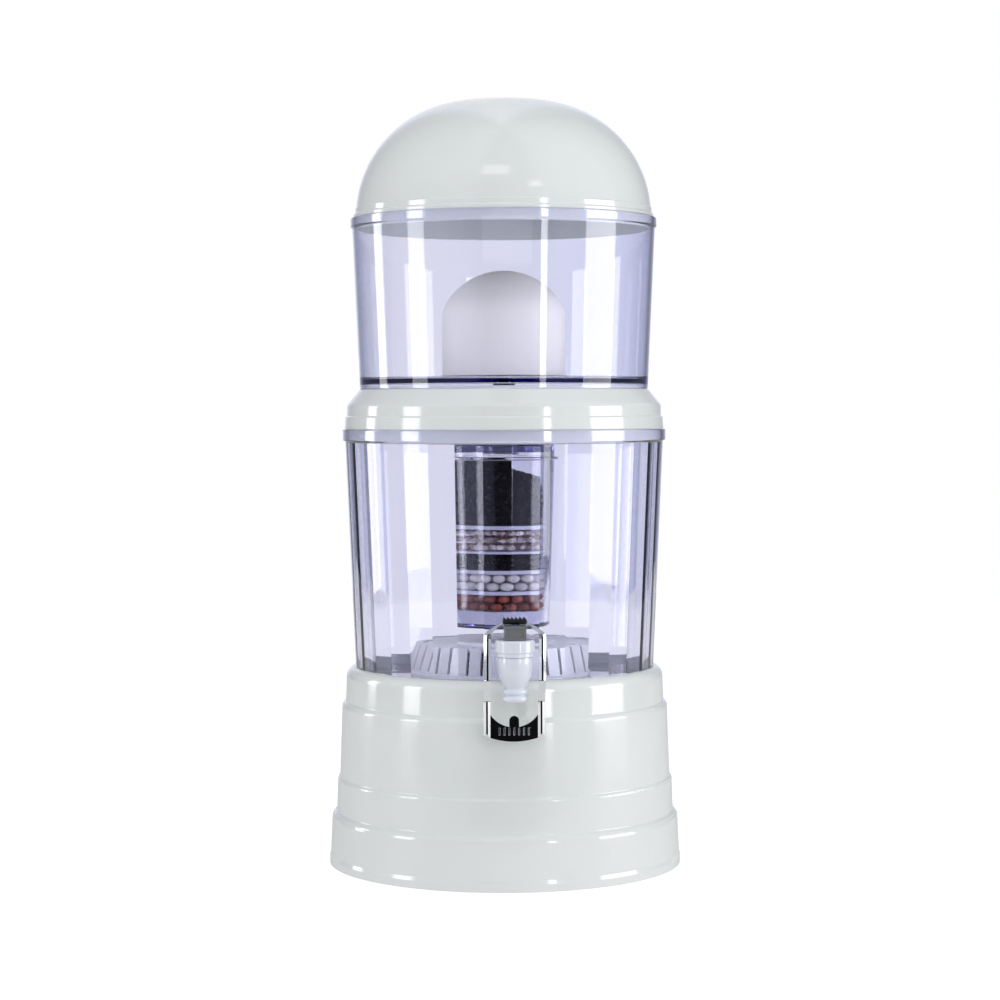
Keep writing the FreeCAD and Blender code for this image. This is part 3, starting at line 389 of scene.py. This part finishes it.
def grain_finish(name, stops, gloss, speckle_scale=700.0, speckle=0.25, shine=0.5):
    """Mineral finish: the grain's tone picks its colour, speckled and pitted all over."""
    pit_depth = 0.0002
    material = bpy.data.materials.new(name)
    tree, output = fresh_tree(material)
    shader = tree.nodes.new("ShaderNodeBsdfPrincipled")
    shader.inputs["Roughness"].default_value = gloss
    shader.inputs["Specular IOR Level"].default_value = shine
    tone = tree.nodes.new("ShaderNodeAttribute")
    tone.attribute_name = "tone"
    ramp = tree.nodes.new("ShaderNodeValToRGB")
    ramp.color_ramp.elements[0].position = stops[0][0]
    ramp.color_ramp.elements[0].color = (*stops[0][1], 1)
    ramp.color_ramp.elements[1].position = stops[-1][0]
    ramp.color_ramp.elements[1].color = (*stops[-1][1], 1)
    for position, colour in stops[1:-1]:
        stop = ramp.color_ramp.elements.new(position)
        stop.color = (*colour, 1)
    place = tree.nodes.new("ShaderNodeTexCoord")
    speckles = tree.nodes.new("ShaderNodeTexNoise")
    speckles.inputs["Scale"].default_value = speckle_scale
    speckles.inputs["Detail"].default_value = 3.0
    shade = tree.nodes.new("ShaderNodeMapRange")
    shade.inputs["To Min"].default_value = 1.0 - speckle
    shade.inputs["To Max"].default_value = 1.0 + speckle
    mixed = tree.nodes.new("ShaderNodeVectorMath")
    mixed.operation = "SCALE"
    bump = tree.nodes.new("ShaderNodeBump")
    bump.inputs["Distance"].default_value = pit_depth
    tree.links.new(tone.outputs["Fac"], ramp.inputs["Fac"])
    tree.links.new(place.outputs["Object"], speckles.inputs["Vector"])
    tree.links.new(speckles.outputs["Fac"], shade.inputs["Value"])
    tree.links.new(ramp.outputs["Color"], mixed.inputs[0])
    tree.links.new(shade.outputs["Result"], mixed.inputs["Scale"])
    tree.links.new(mixed.outputs[0], shader.inputs["Base Color"])
    tree.links.new(speckles.outputs["Fac"], bump.inputs["Height"])
    tree.links.new(bump.outputs[0], shader.inputs["Normal"])
    tree.links.new(shader.outputs[0], output.inputs["Surface"])
    return material


def case_stones():
    """Heap of mineral stones in the tray, in the room of the solid that it replaces."""
    stone_half = 0.0062
    levels = 2
    rings = 6
    first_rise = 0.9
    level_rise = 1.45
    spacing = 1.9
    stray = 0.15
    low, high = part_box("mineral_stones")
    reach = high.x - stone_half
    draw = random.Random(11)
    places = []
    tones = []
    for level in range(levels):
        middle_z = low.z + stone_half * (first_rise + level_rise * level)
        for ring in range(rings):
            radius = reach - ring * 2.0 * stone_half
            count = max(1, int(2 * math.pi * radius / (spacing * stone_half)))
            for number in range(count):
                angle = 2 * math.pi * (number + draw.uniform(-stray, stray)) / count
                middle = Vector((radius * math.cos(angle), radius * math.sin(angle), middle_z))
                places.append(tumbled(draw, middle, stone_half * draw.uniform(0.82, 0.95)))
                tones.append(draw.random())
    return strewn("case_stones", chip_shapes("stone_shape", 6, 0.8, 12), places, tones)


stones = case_stones()
stones.data.materials.append(grain_finish("mineral_stone", (
    (0.0, (0.20, 0.17, 0.15)), (0.4, (0.42, 0.37, 0.33)),
    (0.7, (0.36, 0.22, 0.15)), (1.0, (0.6, 0.57, 0.53)),
), 0.7))
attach(stones, "mineral_case")
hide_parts("mineral_stones")


# Lower tank: clear polished plastic with a faint blue tint that shows in its thick edges.
# It is smooth outside and fluted inside, and a boss on its front takes the tap's shank.
def clear_plastic(name, tint, depth_tint, depth, gloss):
    """Clear plastic: bends what is behind it, lets lamps through and darkens along its walls."""
    refraction = 1.49
    lamp_share = (0.96, 0.96, 0.98, 1)
    material = bpy.data.materials.new(name)
    tree, output = fresh_tree(material)
    shader = marked_shader(tree, tint, gloss, 30.0, 0.00002, 0.02, gloss)
    shader.inputs["IOR"].default_value = refraction
    shader.inputs["Specular IOR Level"].default_value = 0.5
    shader.inputs["Transmission Weight"].default_value = 1.0
    shadow = tree.nodes.new("ShaderNodeBsdfTransparent")
    shadow.inputs["Color"].default_value = lamp_share
    path = tree.nodes.new("ShaderNodeLightPath")
    choose = tree.nodes.new("ShaderNodeMixShader")
    inside = tree.nodes.new("ShaderNodeVolumeAbsorption")
    inside.inputs["Color"].default_value = (*depth_tint, 1)
    inside.inputs["Density"].default_value = depth
    tree.links.new(path.outputs["Is Shadow Ray"], choose.inputs[0])
    tree.links.new(shader.outputs[0], choose.inputs[1])
    tree.links.new(shadow.outputs[0], choose.inputs[2])
    tree.links.new(choose.outputs[0], output.inputs["Surface"])
    tree.links.new(inside.outputs[0], output.inputs["Volume"])
    return material


clear_tank = clear_plastic("clear_tank", (0.93, 0.93, 0.98), (0.12, 0.12, 0.60), 30, 0.015)
dress("lower_tank", clear_tank)


# Tap: a white moulded goblet on a shank, clamped through the tank's wall by a nut.
# A ring bonnet screws on to its neck and guides the grey stem of the sprung valve.
tap_white = moulded_plastic("tap_white", (0.72, 0.76, 0.84), 0.12, 120.0)
for node in ("tap_body", "tap_bonnet", "tap_nut"):
    dress(node, tap_white)
seal_rubber = moulded_plastic("seal_rubber", (0.03, 0.03, 0.035), 0.6, 200.0)
for node in ("tap_outer_gasket", "tap_inner_gasket", "tap_valve_plug"):
    dress(node, seal_rubber)
grey_plastic = moulded_plastic("grey_plastic", (0.16, 0.165, 0.175), 0.35, 160.0)
dress("tap_stem", grey_plastic)


def polished_metal(name, colour, gloss):
    """Plated or drawn metal, with the faint waves of its plastic or its drawing."""
    material = bpy.data.materials.new(name)
    tree, output = fresh_tree(material)
    shader = marked_shader(tree, colour, gloss, 90.0, 0.00002, 0.04, gloss * 0.8)
    shader.inputs["Metallic"].default_value = 1.0
    tree.links.new(shader.outputs[0], output.inputs["Surface"])
    return material


dress("tap_spring", polished_metal("spring_steel", (0.62, 0.62, 0.62), 0.22))


# Lever: a grey clevis on the stem's pin carries a U-shaped frame of chromed plastic.
# A glass pushed against the plate at its foot tips the frame back and lifts the stem.
# A black serrated rest for the thumb sits on the arch, and raised bars mark the plate.
chrome = polished_metal("chrome_trim", (0.88, 0.89, 0.90), 0.045)
dress("lever_frame", chrome)
dress("lever_pin", chrome)
dress("lever_block", grey_plastic)
dress("thumb_grip", moulded_plastic("black_plastic", (0.012, 0.012, 0.013), 0.35, 160.0))


def plate_bars():
    """Row of raised bars on the push plate, each a round-edged block bedded in its face."""
    bar_count = 7
    bar_pitch = 0.0037
    bar_wide = 0.0013
    bar_tall = 0.0058
    bar_proud = 0.0005
    bar_bed = 0.0004
    bar_round = 0.0003
    plate_behind_front = 0.0156
    row_above_foot = 0.0078
    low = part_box("lever_frame")[0]
    face_y = low.y + plate_behind_front
    row_z = low.z + row_above_foot
    bars = []
    for number in range(bar_count):
        x = (number - (bar_count - 1) / 2) * bar_pitch
        bpy.ops.object.select_all(action="DESELECT")
        bpy.ops.mesh.primitive_cube_add(size=1.0)
        bar = bpy.context.object
        bpy.ops.object.mode_set(mode="EDIT")
        bpy.ops.mesh.select_all(action="SELECT")
        bpy.ops.transform.resize(value=(bar_wide, bar_proud + bar_bed, bar_tall))
        bpy.ops.transform.translate(value=(x, face_y + (bar_bed - bar_proud) / 2, row_z))
        bpy.ops.mesh.bevel(offset=bar_round, segments=3, affect="EDGES")
        bpy.ops.object.mode_set(mode="OBJECT")
        bars.append(bar)
    bpy.ops.object.select_all(action="DESELECT")
    for bar in bars:
        bar.select_set(True)
    bpy.context.view_layer.objects.active = bars[0]
    bpy.ops.object.join()
    bars[0].name = "plate_bars"
    bars[0].data.materials.append(chrome)
    return bars[0]


bars = plate_bars()
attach(bars, "tap_lever")


# Separator: the white moulding between the tanks, with a plug for the lower one.
# Its well takes the wing nut, and the cartridge hangs from the collar under the well.
dress("separator", white_moulding)


# Cartridge: a clear tapered cup under a clear cap, which pushes on to the separator's spigot.
# Four plastic discs part its beds, and a felt pad on its floor keeps the grains in.
clear_cup = clear_plastic("clear_cup", (0.95, 0.95, 0.985), (0.12, 0.12, 0.66), 18, 0.015)
dress("cartridge_cup", clear_cup)
dress("cartridge_cap", clear_cup)
dress("cartridge_gasket", seal_rubber)
dress("cartridge_discs", moulded_plastic("disc_plastic", (0.62, 0.62, 0.74), 0.35, 120.0))


def felt_finish():
    """Pressed white felt: a fine fleece of light and dark with a soft sheen."""
    material = bpy.data.materials.new("filter_felt")
    tree, output = fresh_tree(material)
    shader = tree.nodes.new("ShaderNodeBsdfPrincipled")
    shader.inputs["Roughness"].default_value = 0.95
    shader.inputs["Sheen Weight"].default_value = 0.3
    place = tree.nodes.new("ShaderNodeTexCoord")
    fleece = tree.nodes.new("ShaderNodeTexNoise")
    fleece.inputs["Scale"].default_value = 900.0
    fleece.inputs["Detail"].default_value = 5.0
    ramp = tree.nodes.new("ShaderNodeValToRGB")
    ramp.color_ramp.elements[0].position = 0.3
    ramp.color_ramp.elements[0].color = (0.55, 0.56, 0.68, 1)
    ramp.color_ramp.elements[1].position = 0.7
    ramp.color_ramp.elements[1].color = (0.70, 0.71, 0.82, 1)
    bump = tree.nodes.new("ShaderNodeBump")
    bump.inputs["Distance"].default_value = 0.0003
    tree.links.new(place.outputs["Object"], fleece.inputs["Vector"])
    tree.links.new(fleece.outputs["Fac"], ramp.inputs["Fac"])
    tree.links.new(ramp.outputs["Color"], shader.inputs["Base Color"])
    tree.links.new(fleece.outputs["Fac"], bump.inputs["Height"])
    tree.links.new(bump.outputs[0], shader.inputs["Normal"])
    tree.links.new(shader.outputs[0], output.inputs["Surface"])
    return material


dress("outlet_pad", felt_finish())


def ball_shape(name):
    """Template for a fired ceramic ball, a little out of round; its bed is shaded round."""
    bpy.ops.object.select_all(action="DESELECT")
    bpy.ops.mesh.primitive_uv_sphere_add(segments=10, ring_count=6, radius=1.0)
    ball = bpy.context.object
    ball.name = name
    bpy.ops.object.mode_set(mode="EDIT")
    bpy.ops.mesh.select_all(action="SELECT")
    bpy.ops.transform.resize(value=(1.0, 0.97, 0.95))
    bpy.ops.object.mode_set(mode="OBJECT")
    return [ball]


def ball_bed(name, node, ball_d, seed):
    """Two layers of balls in rings from the cup's wall inwards, in the room of the bed."""
    rings = 5
    wall_share = 0.54
    ring_share = 0.94
    spacing = 1.01
    stray = 0.06
    low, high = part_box(node)
    draw = random.Random(seed)
    places = []
    tones = []
    rise = high.z - low.z - ball_d
    for layer in range(2):
        middle_z = low.z + ball_d / 2 + layer * rise
        for ring in range(rings):
            radius = high.x - ball_d * (wall_share + ring_share * ring)
            count = max(1, int(2 * math.pi * radius / (ball_d * spacing)))
            for number in range(count):
                step = number + 0.5 * layer + draw.uniform(-stray, stray)
                angle = 2 * math.pi * step / count
                middle = Vector((radius * math.cos(angle), radius * math.sin(angle), middle_z))
                places.append(tumbled(draw, middle, ball_d / 2 * draw.uniform(0.93, 0.99)))
                tones.append(draw.random())
    piece = strewn(name, ball_shape(name + "_shape"), places, tones)
    piece.data.shade_smooth()
    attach(piece, "cartridge")
    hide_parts(node)
    return piece


red_balls = ball_bed("red_balls", "red_ball_bed", 0.0070, 21)
red_balls.data.materials.append(grain_finish("red_ceramic", (
    (0.0, (0.17, 0.035, 0.02)), (0.5, (0.28, 0.06, 0.035)), (1.0, (0.38, 0.10, 0.055)),
), 0.6, 420.0, 0.15))

white_balls = ball_bed("white_balls", "white_ball_bed", 0.0073, 22)
white_balls.data.materials.append(grain_finish("white_ceramic", (
    (0.0, (0.52, 0.50, 0.50)), (0.3, (0.72, 0.70, 0.68)), (1.0, (0.84, 0.82, 0.78)),
), 0.6, 420.0, 0.12))


def chip_bed(name, node, chip_half, seed, flatness):
    """Bed of broken chips, wedged in rings from the cup's wall inwards."""
    rings = 4
    wall_share = 1.05
    spacing = 1.5
    level_share = 1.7
    stray = 0.3
    lift = 0.12
    sink = 0.4
    low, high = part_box(node)
    draw = random.Random(seed)
    places = []
    tones = []
    levels = max(2, round((high.z - low.z) / (level_share * chip_half)))
    rise = (high.z - low.z - 2 * chip_half) / (levels - 1)
    for level in range(levels):
        level_z = low.z + chip_half + level * rise
        for ring in range(rings):
            radius = high.x - chip_half * (wall_share + spacing * ring)
            count = int(2 * math.pi * radius / (spacing * chip_half))
            for number in range(count):
                angle = 2 * math.pi * (number + draw.uniform(-stray, stray)) / count
                middle_z = level_z + draw.uniform(-lift, lift) * chip_half
                inward = radius - draw.uniform(0, sink) * chip_half
                middle = Vector((inward * math.cos(angle), inward * math.sin(angle), middle_z))
                places.append(tumbled(draw, middle, chip_half * draw.uniform(0.7, 1.0)))
                tones.append(draw.random())
    piece = strewn(name, chip_shapes(name + "_shape", 8, flatness, seed + 1), places, tones)
    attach(piece, "cartridge")
    return piece


stone_chips = chip_bed("stone_chips", "stone_bed", 0.0030, 31, 0.65)
stone_chips.data.materials.append(grain_finish("stone_chips", (
    (0.0, (0.22, 0.15, 0.15)), (0.25, (0.42, 0.34, 0.34)), (0.55, (0.66, 0.58, 0.58)),
    (0.88, (0.80, 0.75, 0.74)), (0.93, (0.42, 0.17, 0.10)), (1.0, (0.36, 0.13, 0.08)),
), 0.55, 500.0, 0.2))
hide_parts("stone_bed")


def carbon_core(name, node, fall, level_share):
    """Packed middle of a carbon bed: a drum with its top cut to the slope, roughened all over."""
    shy = 0.0016
    edge_round = 0.001
    voxel = 0.0011
    grit_pitch = 0.0022
    grit_depth = 0.0012
    low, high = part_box(node)
    height = high.z - low.z - shy
    bpy.ops.object.select_all(action="DESELECT")
    bpy.ops.mesh.primitive_cylinder_add(
        vertices=96, radius=high.x - 2 * shy, depth=height, location=(0, 0, low.z + height / 2)
    )
    core = bpy.context.object
    core.name = name
    bpy.ops.object.transform_apply(location=True, rotation=True, scale=True)
    bpy.ops.object.mode_set(mode="EDIT")
    if fall > 0:
        # level from the left to start_x, then falling to the right
        start_x = -high.x * level_share
        run = high.x - start_x
        bpy.ops.mesh.select_all(action="SELECT")
        bpy.ops.mesh.bisect(
            plane_co=(start_x, 0, high.z - shy), plane_no=(fall, 0, run),
            use_fill=True, clear_outer=True,
        )
    bpy.ops.mesh.select_all(action="SELECT")
    bpy.ops.mesh.bevel(offset=edge_round, segments=2, affect="EDGES")
    bpy.ops.object.mode_set(mode="OBJECT")
    packed = core.modifiers.new("packed", "REMESH")
    packed.mode = "VOXEL"
    packed.voxel_size = voxel
    bpy.ops.object.modifier_apply(modifier=packed.name)
    grit = bpy.data.textures.new(name + "_grit", "VORONOI")
    grit.noise_scale = grit_pitch
    rough = core.modifiers.new("rough", "DISPLACE")
    rough.texture = grit
    rough.texture_coords = "LOCAL"
    rough.strength = grit_depth
    rough.mid_level = 0.6
    bpy.ops.object.modifier_apply(modifier=rough.name)
    return core


def carbon_bed(name, node, fall, level_share, seed):
    """Crushed carbon: a packed core with loose grains along the cup's wall and over its top."""
    grain_half = 0.0011
    grains_at_least = 300
    grains_each_metre = 16985
    bedded = 0.35
    wall_gap = 1.9
    top_gap = 1.2
    cup_taper = 0.03
    core_tone = 0.2
    low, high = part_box(node)
    core = carbon_core(name, node, fall, level_share)
    draw = random.Random(seed)
    faces = [face for face in core.data.polygons if face.normal.z > -0.5]
    places = []
    tones = []
    count = int(grains_each_metre * (high.z - low.z)) + grains_at_least
    for face in draw.sample(faces, min(count, len(faces))):
        middle = face.center + face.normal * bedded * grain_half
        reach = math.hypot(middle.x, middle.y)
        limit = high.x - wall_gap * grain_half - cup_taper * (high.z - middle.z)
        if reach > limit:
            middle = Vector((middle.x * limit / reach, middle.y * limit / reach, middle.z))
        middle.z = min(middle.z, high.z - top_gap * grain_half)
        places.append(tumbled(draw, middle, grain_half * draw.uniform(0.7, 1.5)))
        tones.append(draw.random())
    shapes = chip_shapes(name + "_shape", 6, 0.7, seed + 1)
    grains = strewn(name + "_grains", shapes, places, tones)
    tone = core.data.attributes.new("tone", "FLOAT", "POINT")
    tone.data.foreach_set("value", [core_tone] * len(core.data.vertices))
    bpy.ops.object.select_all(action="DESELECT")
    core.select_set(True)
    grains.select_set(True)
    bpy.context.view_layer.objects.active = core
    bpy.ops.object.join()
    core.data.materials.append(carbon_black)
    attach(core, "cartridge")
    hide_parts(node)
    return core


carbon_black = grain_finish("carbon", (
    (0.0, (0.0015, 0.0015, 0.0022)), (0.7, (0.005, 0.005, 0.007)), (1.0, (0.03, 0.03, 0.036)),
), 0.4, 900.0, 0.4, 0.2)
carbon_bed("lower_carbon", "carbon_lower", fall=0, level_share=0, seed=41)
carbon_bed("upper_carbon", "carbon_upper", fall=0.022, level_share=0.08, seed=43)


# Upper tank: the same clear plastic, smooth and tapered, on a foot skirt round the separator's seat.
# The ceramic dome's stem passes through a hole in its floor.
dress("upper_tank", clear_tank)


# Ceramic dome: a fired white shell on a grey plastic base, whose hollow stem is the outlet.
# A washer seals the stem above the tank's floor and a wing nut pulls it tight from below.
# The ceramic is matt and chalky, with a fine grit and faint cloudiness.
dome_ceramic = moulded_plastic("dome_ceramic", (0.93, 0.91, 0.87), 0.75, 420.0, 0.00012, 0.10)
dress("ceramic_dome", dome_ceramic)
dress("ceramic_base", grey_plastic)
dress("stem_washer", seal_rubber)
dress("wing_nut", white_moulding)


# Lid: the white domed cover, a thin moulding whose plug drops into the upper tank's mouth.
dress("lid", white_moulding)
